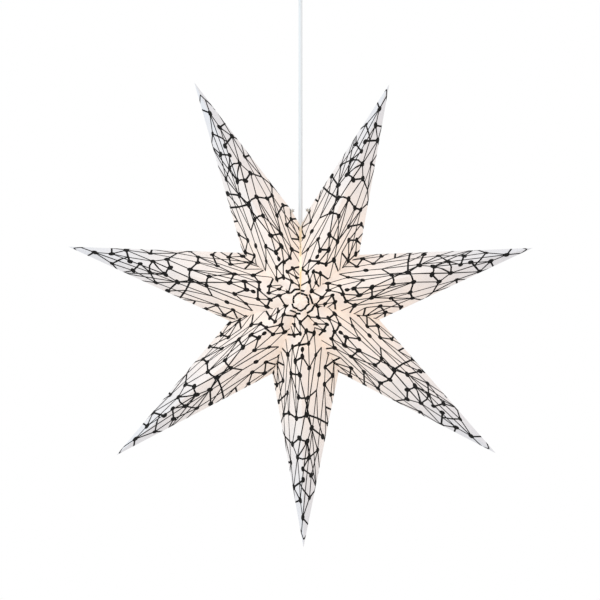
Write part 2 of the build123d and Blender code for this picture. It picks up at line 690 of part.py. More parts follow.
with BuildPart() as ceiling_cup:
    with BuildSketch(Plane.XZ):
        with BuildLine():
            Line((0, CUP_BASE), (CUP_FLAT_RADIUS, CUP_BASE))
            Spline(
                (CUP_FLAT_RADIUS, CUP_BASE),
                (CUP_SHOULDER_RADIUS, CUP_SHOULDER),
                tangents=((1, 0), (CUP_RIM_RADIUS - CUP_SHOULDER_RADIUS, CUP_RIM - CUP_SHOULDER)),
            )
            Line((CUP_SHOULDER_RADIUS, CUP_SHOULDER), (CUP_RIM_RADIUS, CUP_RIM))
            Line((CUP_RIM_RADIUS, CUP_RIM), (0, CUP_RIM))
            Line((0, CUP_RIM), (0, CUP_BASE))
        make_face()
    revolve(axis=Axis.Z)
    offset(amount=-CUP_WALL, openings=ceiling_cup.faces().sort_by(Axis.Z)[-1])
    with Locations((0, 0, CUP_BASE)):
        Cylinder(GRIP_RADIUS + FIT, 4 * CUP_WALL, mode=Mode.SUBTRACT)
finish(ceiling_cup.part, "ceiling_cup")

with BuildPart() as cup_grip:
    revolve(
        outline(
            [
                (CORD_RADIUS + CORD_FIT, GRIP_BOTTOM),
                (GRIP_RADIUS, GRIP_BOTTOM),
                (GRIP_FLANGE_RADIUS, GRIP_BOTTOM + GRIP_LENGTH / 4),
                (GRIP_FLANGE_RADIUS, CUP_BASE),
                (GRIP_RADIUS, CUP_BASE),
                (GRIP_RADIUS, GRIP_TOP),
                (CORD_RADIUS + CORD_FIT, GRIP_TOP),
            ]
        ),
        axis=Axis.Z,
    )
    with Locations(Location((0, -GRIP_FLANGE_RADIUS, GRIP_SCREW_Z), (90, 0, 0))):
        Cylinder(GRIP_SCREW_RADIUS + FIT, 2 * GRIP_FLANGE_RADIUS, mode=Mode.SUBTRACT)
finish(cup_grip.part, "cup_grip")

with BuildPart() as cup_nut:
    with BuildSketch(Plane.XY.offset(CUP_BASE + CUP_WALL)):
        RegularPolygon(NUT_RADIUS, 6)
        Circle(GRIP_RADIUS + FIT, mode=Mode.SUBTRACT)
    extrude(amount=NUT_HEIGHT)
finish(cup_nut.part, "cup_nut")

with BuildPart() as cup_screw:
    with BuildSketch(Plane.XZ.offset(CORD_RADIUS + CORD_FIT)):
        with Locations((0, GRIP_SCREW_Z)):
            Circle(GRIP_SCREW_RADIUS)
    extrude(amount=GRIP_FLANGE_RADIUS + FIT - CORD_RADIUS - CORD_FIT)
    with BuildSketch(Plane.XZ.offset(GRIP_FLANGE_RADIUS + FIT)):
        with Locations((0, GRIP_SCREW_Z)):
            Circle(SCREW_HEAD_RADIUS)
    extrude(amount=SCREW_HEAD_HEIGHT)
finish(cup_screw.part, "cup_screw")
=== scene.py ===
import json
import math
import random

import bmesh
import bpy
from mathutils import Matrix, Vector
from mathutils.geometry import delaunay_2d_cdt


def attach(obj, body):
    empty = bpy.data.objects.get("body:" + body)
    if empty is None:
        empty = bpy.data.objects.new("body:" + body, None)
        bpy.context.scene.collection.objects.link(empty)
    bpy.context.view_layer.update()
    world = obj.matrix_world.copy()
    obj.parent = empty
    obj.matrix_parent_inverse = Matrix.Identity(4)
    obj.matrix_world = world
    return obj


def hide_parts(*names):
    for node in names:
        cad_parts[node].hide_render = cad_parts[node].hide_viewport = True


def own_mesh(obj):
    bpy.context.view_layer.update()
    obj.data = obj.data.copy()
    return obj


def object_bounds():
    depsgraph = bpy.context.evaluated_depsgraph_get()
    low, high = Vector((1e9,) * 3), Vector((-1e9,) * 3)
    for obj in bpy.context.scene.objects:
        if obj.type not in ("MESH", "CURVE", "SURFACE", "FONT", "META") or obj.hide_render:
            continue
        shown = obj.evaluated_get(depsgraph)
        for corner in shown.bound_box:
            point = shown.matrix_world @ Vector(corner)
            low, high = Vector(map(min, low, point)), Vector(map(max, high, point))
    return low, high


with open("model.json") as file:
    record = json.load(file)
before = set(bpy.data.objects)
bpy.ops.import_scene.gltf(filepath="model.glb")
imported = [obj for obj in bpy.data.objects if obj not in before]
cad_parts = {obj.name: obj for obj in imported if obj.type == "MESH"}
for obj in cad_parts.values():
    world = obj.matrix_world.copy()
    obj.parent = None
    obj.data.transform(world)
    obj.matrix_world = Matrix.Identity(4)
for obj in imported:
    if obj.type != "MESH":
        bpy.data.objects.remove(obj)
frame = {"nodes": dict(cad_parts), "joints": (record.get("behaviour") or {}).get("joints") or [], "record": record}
cad_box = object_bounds()

# Star sizes in metres, and leans in degrees, in order from the seam at the top
STAR_RADIUS = 0.300
NOTCH_RADIUS = 0.097
NOTCH_LEANS = (0.0, -3.8, -0.6, 3.3, 4.0, 2.6, 2.4)
NOTCH_REACHES = (0.008, 0.001, -0.006, -0.005, -0.001, 0.003, 0.0)
HALF_DEPTH = 0.075
PAPER = 0.0004
GLUE_STRIP = 0.011
GLUE_GAP = 0.0002
CAP_SLOT_HALF = 0.016
AXIS_CLEARANCE = 0.002

# Bow and ripple of the paper in metres, the ripple's turns in radians, and the steps of a face
BOW = 0.0013
BULGE_SCALE = 3**3
RIPPLE = 0.0005
RIPPLE_TIP_TURN = 9.0
RIPPLE_NOTCH_TURNS = (5.0, 7.0)
RIPPLE_SHIFTS = (40, 30)
GRID_STEPS = 9

# Open seam, in metres: half widths, heights where it widens, and how far the paper gives way
SEAM_HALF = 0.0011
SEAM_SHUT = 0.0001
SEAM_MOUTH = 0.0014
SEAM_CORD = 0.0028
SEAM_OPENS = (0.014, 0.030)
SEAM_WIDENS = (0.100, 0.104)
SEAM_FADE = 0.014

# Cord, in metres, and the steps that round its section
CORD_DIAMETER = 0.005
CORD_ROUNDNESS = 6
CORD_LOW = -0.392
CORD_EXIT = -0.373
CORD_HIGH = -0.026

# Print, in millimetres on the flat paper, with its counts, shares, chances and angles
MM_PER_METRE = 1000
PRINT_SEEDS = (11, 31)
LENGTHWISE_WIDTH = 1.6
CROSSWISE_WIDTH = 2.65
STROKE_STARTS = (0.9, 1.15)
STROKE_ENDS = (0.8, 1.05)
DOT_RADIUS = 3.5
DOT_SIDES = 10
DOT_SIZES = (0.85, 1.1)
DOT_STRETCHES = (1.0, 1.3)
NODE_TRIES = 12000
NODE_SPACING = 12.3
NODE_TOLERANCE = 1e-5
CUT_TOLERANCE = 1e-4
MIDDLE_CROWDING = 0.8
CROWDED_REACH = 110.0
LENGTHWISE_STRETCH = 1.7
PRINT_START = 20.0
PRINT_OVERRUN = 9.0
BARE_TIP = 14.0
TIP_ZONE = 48.0
PRINT_END = 7.0
LINK_REACH = 46.0
LINK_LIMIT = 4
LINK_PARTING = math.radians(32)
LONG_LINES = 22
LONG_LINE_GAP = 4.2
LONG_LINE_STRETCH = 9.0
LONG_LINE_SPAN = (38.0, 88.0)
LONG_LINE_ZONE = (60.0, 290.0)
LONG_LINE_SLANT = 0.32
LONG_LINE_PARTING = math.radians(8)
DOT_CHANCE = 0.85
SPUR_CHANCE = 0.28
SPUR_PARTING = math.radians(50)
SPUR_LENGTHS = (6.5, 9.0)
RING_RUNGS = (10.5, 16.0)
RING_CHANCES = (0.88, 0.5)
RING_WANDER = (0.86, 1.16)
MISPRINT = (2.2, 1.6)

# Paper and ink
PAPER_COLOURS = ((0.757, 0.739, 0.757), (0.787, 0.769, 0.787))
INK_COLOURS = ((0.003, 0.003, 0.003), (0.011, 0.01, 0.009))
FIBRE_SCALE = 1500.0
FIBRE_DEPTH = 0.0001

# Glow of the bulb: its reach through the paper in metres, and the shares between which it varies
GLOW_REACH = (0.04, 0.30)
GLOW_SHARES = (0.85, 1.15)
DIFFUSER_LEAST_SHARE = 0.94

# Part of a noise factor's range that holds most of it
NOISE_SPAN = (0.3, 0.7)

# Camera, from the photograph's 600 by 600 pixels
FRAME_PIXELS = 600
STAR_PIXEL = (300.5, 305.5)
METRES_PER_PIXEL = 0.001252
CAMERA_DISTANCE = 3.0
CAMERA_ELEVATION = -4.0
SENSOR_WIDTH = 36.0

# Room
FLOOR_DROP = 1.9
FLOOR_RADIUS = 7.0
FLOOR_SIDES = 96
FLOOR_COLOURS = ((0.84, 0.84, 0.84), (0.87, 0.87, 0.87))
KEY_OFFSET = Vector((-1.9, -1.7, 0.6))
KEY_SIZE = 1.6
KEY_ENERGY = 13.0
KEY_COLOUR = (0.45, 0.8, 1.0)

# Paper points and directions, in degrees, in order from the seam at the top
POINTS = ("top_left", "left", "lower_left", "bottom", "lower_right", "right", "top_right")
SEAM_NOTCH = 0
SEAM_DIRECTION = 90.0
PITCH = 360.0 / len(POINTS)
joint_rows = {row["name"]: row for row in frame["joints"]}
CENTRE = Vector(joint_rows["fold"]["pos_m"])
FRONT = CENTRE + Vector((0, -HALF_DEPTH, 0))
BACK = CENTRE + Vector((0, HALF_DEPTH, 0))


def in_star(angle, radius, y=0.0):
    """Place at an angle and a distance from the star's axis."""
    turn = math.radians(angle)
    return CENTRE + Vector((radius * math.cos(turn), y, radius * math.sin(turn)))


def notch_angle(number):
    """Direction of a notch between two points, counted from the seam at the top."""
    return SEAM_DIRECTION + number * PITCH + NOTCH_LEANS[number]


def notch_radius(number):
    """Distance of a notch from the star's axis."""
    return NOTCH_RADIUS + NOTCH_REACHES[number]


def node_tip(name):
    """Outermost corner of a paper point, read from its solid."""
    corners = [v.co - CENTRE for v in frame["nodes"][name].data.vertices]
    far = max(corners, key=lambda c: c.x**2 + c.z**2)
    return CENTRE + Vector((far.x, 0, far.z))


def smooth_share(value, start, end):
    """Smooth step from 0 to 1 between two values."""
    share = min(1.0, max(0.0, (value - start) / (end - start)))
    return share * share * (3 - 2 * share)


def add_object(name, data):
    """New object in the scene."""
    made = bpy.data.objects.new(name, data)
    bpy.context.scene.collection.objects.link(made)
    return made


# Material helpers


def new_material(name):
    """Material with its node tree and principled shader."""
    material = bpy.data.materials.new(name)
    material.use_nodes = True
    tree = material.node_tree
    return material, tree, tree.nodes["Principled BSDF"]


def node(tree, kind, inputs=None, **settings):
    """New shader node with its settings and plain input values."""
    made = tree.nodes.new(kind)
    for key, value in settings.items():
        setattr(made, key, value)
    for key, value in (inputs or {}).items():
        made.inputs[key].default_value = value
    return made


def place_socket(tree, stretch=(1, 1, 1)):
    """Coordinates of the piece itself, stretched."""
    place = node(tree, "ShaderNodeTexCoord")
    mapping = node(tree, "ShaderNodeMapping", {"Scale": stretch})
    tree.links.new(place.outputs["Object"], mapping.inputs["Vector"])
    return mapping.outputs["Vector"]


def noise(tree, scale, detail=4.0, roughness=0.55, stretch=(1, 1, 1)):
    """Noise in the piece's own coordinates, as its factor socket."""
    made = node(tree, "ShaderNodeTexNoise", {"Scale": scale, "Detail": detail, "Roughness": roughness})
    tree.links.new(place_socket(tree, stretch), made.inputs["Vector"])
    return made.outputs["Fac"]


def ramp(tree, source, low, high, span=NOISE_SPAN):
    """Colour between two colours over part of a factor's range."""
    made = node(tree, "ShaderNodeValToRGB")
    for element, position, colour in zip(made.color_ramp.elements, span, (low, high)):
        element.position = position
        element.color = (*colour, 1)
    tree.links.new(source, made.inputs["Fac"])
    return made.outputs["Color"]


def rescale(tree, source, low, high, to_low, to_high):
    """Factor rescaled smoothly, with its ends held."""
    limits = {"From Min": low, "From Max": high, "To Min": to_low, "To Max": to_high}
    made = node(tree, "ShaderNodeMapRange", limits, interpolation_type="SMOOTHSTEP")
    tree.links.new(source, made.inputs["Value"])
    return made.outputs["Result"]


def product(tree, first, second):
    """Two factors multiplied."""
    made = node(tree, "ShaderNodeMath", operation="MULTIPLY")
    tree.links.new(first, made.inputs[0])
    tree.links.new(second, made.inputs[1])
    return made.outputs["Value"]


def bump(tree, shader, source, depth):
    """Bump from a factor, in metres."""
    made = node(tree, "ShaderNodeBump", {"Distance": depth, "Strength": 1.0})
    tree.links.new(source, made.inputs["Height"])
    tree.links.new(made.outputs["Normal"], shader.inputs["Normal"])


def mottled(name, low, high, scale, rough, grain, depth, metallic=0.0, coat=0.0, stretch=(1, 1, 1)):
    """Material whose colour, roughness and fine bump vary with noise."""
    material, tree, shader = new_material(name)
    cloud = noise(tree, scale, stretch=stretch)
    tree.links.new(ramp(tree, cloud, low, high), shader.inputs["Base Color"])
    tree.links.new(rescale(tree, cloud, *NOISE_SPAN, *rough), shader.inputs["Roughness"])
    bump(tree, shader, noise(tree, grain, detail=3.0, stretch=stretch), depth)
    shader.inputs["Metallic"].default_value = metallic
    shader.inputs["Coat Weight"].default_value = coat
    return material


# Materials


def bulb_light(tree, near, far):
    """How strongly the bulb shines on or through the paper, by the distance from the star's middle."""
    made = node(tree, "ShaderNodeVectorMath", operation="DISTANCE")
    made.inputs[1].default_value = CENTRE
    tree.links.new(place_socket(tree), made.inputs[0])
    return rescale(tree, made.outputs["Value"], *GLOW_REACH, near, far)


def fibres(tree, shader):
    """Fine bump of the fibres in paper."""
    bump(tree, shader, noise(tree, FIBRE_SCALE, detail=5.0, roughness=0.7), FIBRE_DEPTH)


def paper_material(name, glow_colour, glow_near, glow_far):
    """White shade paper with a cloudy make and fine fibres, warm where the bulb shines on it."""
    material, tree, shader = new_material(name)
    cloud = noise(tree, 70.0, detail=6.0, roughness=0.6)
    tree.links.new(ramp(tree, cloud, *PAPER_COLOURS), shader.inputs["Base Color"])
    shader.inputs["Roughness"].default_value = 0.8
    shader.inputs["Specular IOR Level"].default_value = 0.2
    fibres(tree, shader)
    shader.inputs["Emission Color"].default_value = (*glow_colour, 1)
    shares = rescale(tree, cloud, *NOISE_SPAN, *GLOW_SHARES)
    glow = product(tree, bulb_light(tree, glow_near, glow_far), shares)
    tree.links.new(glow, shader.inputs["Emission Strength"])
    return material


def ink_material():
    """Black printing ink, a little uneven on the fibres."""
    material, tree, shader = new_material("print_ink")
    patchy = noise(tree, 900.0, detail=5.0, roughness=0.7)
    tree.links.new(ramp(tree, patchy, *INK_COLOURS), shader.inputs["Base Color"])
    shader.inputs["Roughness"].default_value = 0.7
    shader.inputs["Specular IOR Level"].default_value = 0.15
    fibres(tree, shader)
    return material


def glowing(name, low, high, colour, strength):
    """Diffuser of a lit lamp."""
    material, tree, shader = new_material(name)
    cloud = noise(tree, 60.0)
    tree.links.new(ramp(tree, cloud, low, high), shader.inputs["Base Color"])
    shader.inputs["Roughness"].default_value = 0.35
    shader.inputs["Emission Color"].default_value = (*colour, 1)
    glow = rescale(tree, cloud, *NOISE_SPAN, DIFFUSER_LEAST_SHARE * strength, strength)
    tree.links.new(glow, shader.inputs["Emission Strength"])
    return material


def hook_and_loop():
    """White closing tape with a dense pile of small loops, lit from inside the star."""
    material, tree, shader = new_material("hook_and_loop")
    pile = node(tree, "ShaderNodeTexVoronoi", {"Scale": 900.0, "Randomness": 0.7})
    tree.links.new(place_socket(tree), pile.inputs["Vector"])
    height = pile.outputs["Distance"]
    colour = ramp(tree, height, (0.82, 0.82, 0.79), (0.55, 0.55, 0.52), span=(0.1, 0.8))
    tree.links.new(colour, shader.inputs["Base Color"])
    shader.inputs["Roughness"].default_value = 0.9
    shader.inputs["Sheen Weight"].default_value = 0.3
    shader.inputs["Emission Color"].default_value = (1.0, 0.8, 0.52, 1)
    shader.inputs["Emission Strength"].default_value = 0.5
    bump(tree, shader, height, 0.0004)
    return material


def metal(name, low, high, rough):
    """Metal with slightly uneven gloss."""
    return mottled(name, low, high, scale=400.0, rough=rough, grain=2600.0, depth=2e-5, metallic=1.0)


def plastic(name, low, high, rough, scale=180.0, coat=0.0):
    """Moulded plastic, sheath or glaze with a very fine grain."""
    return mottled(name, low, high, scale, rough, grain=2200.0, depth=3e-5, coat=coat)


OUTSIDE_PAPER = paper_material("shade_paper", (1.0, 0.54, 0.13), glow_near=0.27, glow_far=0.0)
INSIDE_PAPER = paper_material("shade_paper_inside", (1.0, 0.72, 0.38), glow_near=0.46, glow_far=0.1)
INK = ink_material()
CORD_SHEATH = mottled(
    "cord_sheath",
    (0.77, 0.775, 0.78),
    (0.815, 0.82, 0.825),
    scale=40.0,
    rough=(0.3, 0.42),
    grain=700.0,
    depth=4e-5,
    stretch=(1, 1, 0.15),
)
FINISHES = {
    "eyelet": metal("eyelet_metal", (0.5, 0.46, 0.4), (0.64, 0.6, 0.54), (0.28, 0.45)),
    "seam_tape": hook_and_loop(),
    "wire": metal("drawn_wire", (0.5, 0.5, 0.52), (0.66, 0.66, 0.68), (0.22, 0.4)),
    "cord_sheath": CORD_SHEATH,
    "live_sheath": plastic("brown_sheath", (0.1, 0.035, 0.014), (0.14, 0.055, 0.022), (0.3, 0.45)),
    "neutral_sheath": plastic("blue_sheath", (0.01, 0.05, 0.28), (0.02, 0.08, 0.36), (0.3, 0.45)),
    "white_plastic": plastic("moulded_white", (0.785, 0.785, 0.77), (0.81, 0.81, 0.795), (0.3, 0.42)),
    "nylon": plastic("natural_nylon", (0.69, 0.69, 0.66), (0.77, 0.77, 0.74), (0.45, 0.6), scale=110.0),
    "ceramic_white": plastic(
        "glazed_ceramic", (0.76, 0.75, 0.7), (0.83, 0.82, 0.78), (0.1, 0.2), coat=0.5
    ),
    "steel": metal("zinc_steel", (0.48, 0.48, 0.5), (0.64, 0.64, 0.66), (0.25, 0.45)),
    "brass": metal("brass", (0.6, 0.4, 0.16), (0.76, 0.55, 0.26), (0.2, 0.38)),
    "cap_metal": metal("nickel_cap", (0.6, 0.59, 0.56), (0.72, 0.71, 0.69), (0.18, 0.35)),
    "black_glass": plastic(
        "black_glass", (0.008, 0.008, 0.01), (0.025, 0.025, 0.03), (0.08, 0.16), coat=0.4
    ),
    "opal": glowing("opal_globe", (0.4, 0.38, 0.35), (0.46, 0.44, 0.41), (1.0, 0.8, 0.5), strength=0.5),
    "board": plastic("white_board", (0.72, 0.73, 0.71), (0.8, 0.81, 0.79), (0.3, 0.42), scale=500.0),
    "led": glowing("phosphor", (0.85, 0.62, 0.12), (0.9, 0.7, 0.18), (1.0, 0.7, 0.34), strength=8.0),
}
for subpart in frame["record"]["subparts"]:
    if subpart["material_slot"] in FINISHES:
        shown = frame["nodes"][subpart["node"]].data
        shown.materials.clear()
        shown.materials.append(FINISHES[subpart["material_slot"]])

# Print: an irregular net of thin lines and dots on the front and back of an unfolded point


def unfolded(tip, notch):
    """Ridge length of a flat face, and its notch's place along and beside the ridge, in millimetres."""
    ridge = (tip - FRONT).length
    slope = (notch - FRONT).length
    along = (slope**2 + ridge**2 - (tip - notch).length ** 2) / (2 * ridge)
    aside = math.sqrt(slope**2 - along**2)
    return ridge * MM_PER_METRE, along * MM_PER_METRE, aside * MM_PER_METRE


RIDGE, NOTCH_ALONG, NOTCH_ASIDE = unfolded(in_star(0, STAR_RADIUS), in_star(PITCH / 2, NOTCH_RADIUS))


def half_width(along):
    """Half width of a regular unfolded point at a distance along its ridge."""
    if along < NOTCH_ALONG:
        return NOTCH_ASIDE * along / NOTCH_ALONG
    return NOTCH_ASIDE * (RIDGE - along) / (RIDGE - NOTCH_ALONG)


def scatter_nodes(rng):
    """Places where lines meet, close together near the star's middle and drawn out lengthwise beyond."""
    nodes = []
    for _ in range(NODE_TRIES):
        along = rng.uniform(PRINT_START, RIDGE - BARE_TIP)
        reach = half_width(along) + PRINT_OVERRUN
        aside = rng.uniform(-reach, reach)
        outness = min(1.0, along / CROWDED_REACH)
        spacing = NODE_SPACING * (MIDDLE_CROWDING + (1 - MIDDLE_CROWDING) * outness)
        stretch = 1 + (LENGTHWISE_STRETCH - 1) * outness
        if all(math.hypot((along - a) / stretch, aside - s) > spacing for a, s in nodes):
            nodes.append((along, aside))
    return nodes


def parted(directions, turn, least):
    """Whether a direction keeps a least angle from those already taken."""
    return all(abs((turn - other + math.pi) % math.tau - math.pi) > least for other in directions)


def join(nodes, taken, first, second, least):
    """Line between two nodes, if it keeps a least angle from the lines that they already have."""
    start, end = nodes[first], nodes[second]
    turn = math.atan2(end[1] - start[1], end[0] - start[0])
    if not parted(taken[first], turn, least) or not parted(taken[second], turn + math.pi, least):
        return []
    taken[first].append(turn)
    taken[second].append(turn + math.pi)
    return [(start, end)]


def short_lines(rng, nodes, taken):
    """Neighbouring nodes joined, a few lines to each, but none straight across the tip."""
    stretched = [Vector((along / LENGTHWISE_STRETCH, aside)) for along, aside in nodes]
    sides = delaunay_2d_cdt(stretched, [], [], 0, NODE_TOLERANCE)[1]
    links = sorted(tuple(sorted(link)) for link in sides)
    rng.shuffle(links)
    lines = []
    for first, second in links:
        start, end = nodes[first], nodes[second]
        room = max(len(taken[first]), len(taken[second])) < LINK_LIMIT
        at_tip = min(start[0], end[0]) > RIDGE - TIP_ZONE
        crosswise = abs(end[1] - start[1]) > abs(end[0] - start[0])
        if room and not (at_tip and crosswise) and math.dist(start, end) < LINK_REACH:
            lines += join(nodes, taken, first, second, LINK_PARTING)
    return lines


def long_lines(rng, nodes, taken):
    """Long lines between distant nodes, nearly along the point."""
    pairs = []
    for first, start in enumerate(nodes):
        for second, end in enumerate(nodes):
            run = end[0] - start[0]
            in_zone = LONG_LINE_ZONE[0] < start[0] and end[0] < LONG_LINE_ZONE[1]
            in_span = LONG_LINE_SPAN[0] < run < LONG_LINE_SPAN[1]
            if in_zone and in_span and abs(end[1] - start[1]) < LONG_LINE_SLANT * run:
                pairs.append((first, second))
    rng.shuffle(pairs)
    lines, middles = [], []
    for first, second in pairs:
        middle = (Vector(nodes[first]) + Vector(nodes[second])) / 2
        squeezed = Vector((middle.x / LONG_LINE_STRETCH, middle.y))
        clear = all((squeezed - other).length > LONG_LINE_GAP for other in middles)
        if clear and len(lines) < LONG_LINES:
            lines += join(nodes, taken, first, second, LONG_LINE_PARTING)
            middles.append(squeezed)
    return lines


def tip_lines(nodes):
    """The two outermost nodes joined to one place near the tip."""
    return [(place, (RIDGE - PRINT_END, 0)) for place in sorted(nodes)[-2:]]


def spurs(rng, nodes, taken):
    """Short lines from some nodes into open cells, each of which stops at a dot of its own."""
    lines = []
    for place, directions in zip(nodes, taken):
        turn = rng.uniform(0, math.tau)
        length = rng.uniform(*SPUR_LENGTHS)
        if rng.random() < SPUR_CHANCE and parted(directions, turn, SPUR_PARTING):
            end = (place[0] + length * math.cos(turn), place[1] + length * math.sin(turn))
            lines.append((place, end))
    return lines


def ring_lines(rng):
    """Lines across a point close to the star's middle, which form broken rings with its neighbours'."""
    lines = []
    for rung, chance in zip(RING_RUNGS, RING_CHANCES):
        reach = half_width(rung) + LENGTHWISE_WIDTH
        places = [(rung * rng.uniform(*RING_WANDER), aside) for aside in (-reach, 0, reach)]
        lines += [line for line in zip(places, places[1:]) if rng.random() < chance]
    return lines


def line_shape(rng, line):
    """Thin four-sided stroke, broader across the point than along it and a little wider at one end."""
    start, end = Vector(line[0]), Vector(line[1])
    step = (end - start).normalized()
    width = LENGTHWISE_WIDTH + (CROSSWISE_WIDTH - LENGTHWISE_WIDTH) * abs(step.y)
    side = Vector((-step.y, step.x))
    first = side * (width / 2 * rng.uniform(*STROKE_STARTS))
    second = side * (width / 2 * rng.uniform(*STROKE_ENDS))
    return [start - first, end - second, end + second, start + first]


def dot_shape(rng, centre):
    """Round dot, slightly drawn out in some direction."""
    radius = DOT_RADIUS * rng.uniform(*DOT_SIZES)
    stretch = rng.uniform(*DOT_STRETCHES)
    lean = rng.uniform(0, math.pi)
    shape = []
    for k in range(DOT_SIDES):
        turn = math.tau * k / DOT_SIDES
        x, y = radius * stretch * math.cos(turn), radius * math.sin(turn)
        along = x * math.cos(lean) - y * math.sin(lean)
        aside = x * math.sin(lean) + y * math.cos(lean)
        shape.append(Vector(centre) + Vector((along, aside)))
    return shape


def draw_print(seed):
    """All ink shapes of one unfolded point."""
    rng = random.Random(seed)
    nodes = scatter_nodes(rng)
    taken = [[] for _ in nodes]
    lines = short_lines(rng, nodes, taken) + long_lines(rng, nodes, taken) + tip_lines(nodes)
    dots = [place for place in nodes if rng.random() < DOT_CHANCE]
    stubs = spurs(rng, nodes, taken)
    lines += stubs
    dots += [end for _, end in stubs]
    return [line_shape(rng, line) for line in lines] + [dot_shape(rng, place) for place in dots]


PRINTS = [draw_print(seed) for seed in PRINT_SEEDS]


def printed_face(index, print_number, side, tip, notch):
    """One flat face with the print cut into it: its corners' shares, and its triangles with their ink."""
    ridge, along, aside = unfolded(tip, notch)
    rng = random.Random(PRINT_SEEDS[print_number] + index)
    shift = Vector([rng.uniform(-limit, limit) for limit in MISPRINT])
    shapes = [[place + shift for place in shape] for shape in PRINTS[print_number]]
    shapes += [line_shape(rng, line) for line in ring_lines(rng)]
    corners = [Vector((0, 0)), Vector((ridge, 0)), Vector((along, aside))]
    points = list(corners)
    faces = [[0, 1, 2]]
    for shape in shapes:
        turned = [Vector((place.x, place.y * side)) for place in shape][::side]
        if max(place.y for place in turned) > 0:
            faces.append(list(range(len(points), len(points) + len(turned))))
            points += turned
    for row in range(1, GRID_STEPS):
        for column in range(1, GRID_STEPS - row):
            points.append(corners[1] * (row / GRID_STEPS) + corners[2] * (column / GRID_STEPS))
    places, _, triangles, _, _, sources = delaunay_2d_cdt(points, [], faces, 1, CUT_TOLERANCE)
    kept = [(numbers, len(source) > 1) for numbers, source in zip(triangles, sources) if 0 in source]
    shares = {}
    for k in {k for numbers, _ in kept for k in numbers}:
        notch_share = places[k].y / aside
        tip_share = (places[k].x - notch_share * along) / ridge
        shares[k] = (1 - tip_share - notch_share, tip_share, notch_share)
    return shares, kept


# Paper points, with their material slots in order

OUTSIDE_SLOT, INK_SLOT, INSIDE_SLOT = range(3)


def on_face(corners, normal, weights):
    """Place on a folded face with the slight bow and ripple that paper keeps, most in its middle."""
    a, b, c = weights
    bulge = BULGE_SCALE * max(a, 0) * max(b, 0) * max(c, 0)
    lengthwise = RIPPLE_TIP_TURN * b + RIPPLE_NOTCH_TURNS[0] * c + RIPPLE_SHIFTS[0] * corners[1].x
    crosswise = RIPPLE_NOTCH_TURNS[1] * c + RIPPLE_SHIFTS[1] * corners[1].z
    wave = math.sin(lengthwise) * math.cos(crosswise)
    flat = corners[0] * a + corners[1] * b + corners[2] * c
    return flat + normal * bulge * (BOW + RIPPLE * wave)


def face_normal(corners):
    """Normal of a face, away from the star's middle."""
    normal = (corners[1] - corners[0]).cross(corners[2] - corners[0]).normalized()
    return normal if normal.dot(corners[0] - CENTRE) > 0 else -normal


def add_triangle(mesh, corners, normal, material_index):
    """Smooth face wound to look along the normal."""
    a, b, c = corners
    if (b.co - a.co).cross(c.co - a.co).dot(normal) < 0:
        b, c = c, b
    face = mesh.faces.new((a, b, c))
    face.material_index = material_index
    face.smooth = True


def add_outer_face(mesh, corners, printed):
    """Printed outside of one face."""
    normal = face_normal(corners)
    shares, triangles = printed
    made = {k: mesh.verts.new(on_face(corners, normal, weights)) for k, weights in shares.items()}
    for numbers, inked in triangles:
        slot = INK_SLOT if inked else OUTSIDE_SLOT
        add_triangle(mesh, [made[k] for k in numbers], normal, slot)
    return list(made.values())


def add_inner_face(mesh, corners):
    """Bare inside of one face, drawn in towards the star's middle by the paper's thickness."""
    normal = face_normal(corners)
    drawn_in = 1 - PAPER / normal.dot(corners[0] - CENTRE)
    inner = [CENTRE + (corner - CENTRE) * drawn_in for corner in corners]
    made = {}
    for row in range(GRID_STEPS + 1):
        for column in range(GRID_STEPS + 1 - row):
            tip, notch = row / GRID_STEPS, column / GRID_STEPS
            made[row, column] = mesh.verts.new(on_face(inner, normal, (1 - tip - notch, tip, notch)))
    for row, column in made:
        if row + column < GRID_STEPS:
            corner, outer, across = made[row, column], made[row + 1, column], made[row, column + 1]
            add_triangle(mesh, (corner, outer, across), -normal, INSIDE_SLOT)
        if row + column < GRID_STEPS - 1:
            add_triangle(mesh, (outer, made[row + 1, column + 1], across), -normal, INSIDE_SLOT)
    return list(made.values())


def open_seam(verts, side):
    """Push the paper away from the seam, which is shut near the star's middle and widest at the cord."""
    for vert in verts:
        height = vert.co.z - CENTRE.z
        half = SEAM_SHUT + (SEAM_MOUTH - SEAM_SHUT) * smooth_share(height, *SEAM_OPENS)
        half += (SEAM_CORD - SEAM_MOUTH) * smooth_share(height, *SEAM_WIDENS)
        vert.co.x += side * half * max(0.0, 1 - abs(vert.co.x) / SEAM_FADE)


def glue_strip(number):
    """Corners of the strip along a web's sloping edge, as distance from the axis and depth."""
    radius = notch_radius(number)
    inset = GLUE_STRIP * math.hypot(HALF_DEPTH, NOTCH_RADIUS)
    window_radius = NOTCH_RADIUS - inset / HALF_DEPTH
    window_depth = HALF_DEPTH - inset / NOTCH_RADIUS
    cut = CAP_SLOT_HALF if number == SEAM_NOTCH else PAPER
    outer_end = (radius * (1 - cut / HALF_DEPTH), cut)
    inner_end = (window_radius * (1 - cut / window_depth), cut)
    outer_start = (AXIS_CLEARANCE, HALF_DEPTH * (1 - AXIS_CLEARANCE / radius))
    inner_start = (AXIS_CLEARANCE, window_depth * (1 - AXIS_CLEARANCE / window_radius))
    return [outer_start, outer_end, inner_end, inner_start]


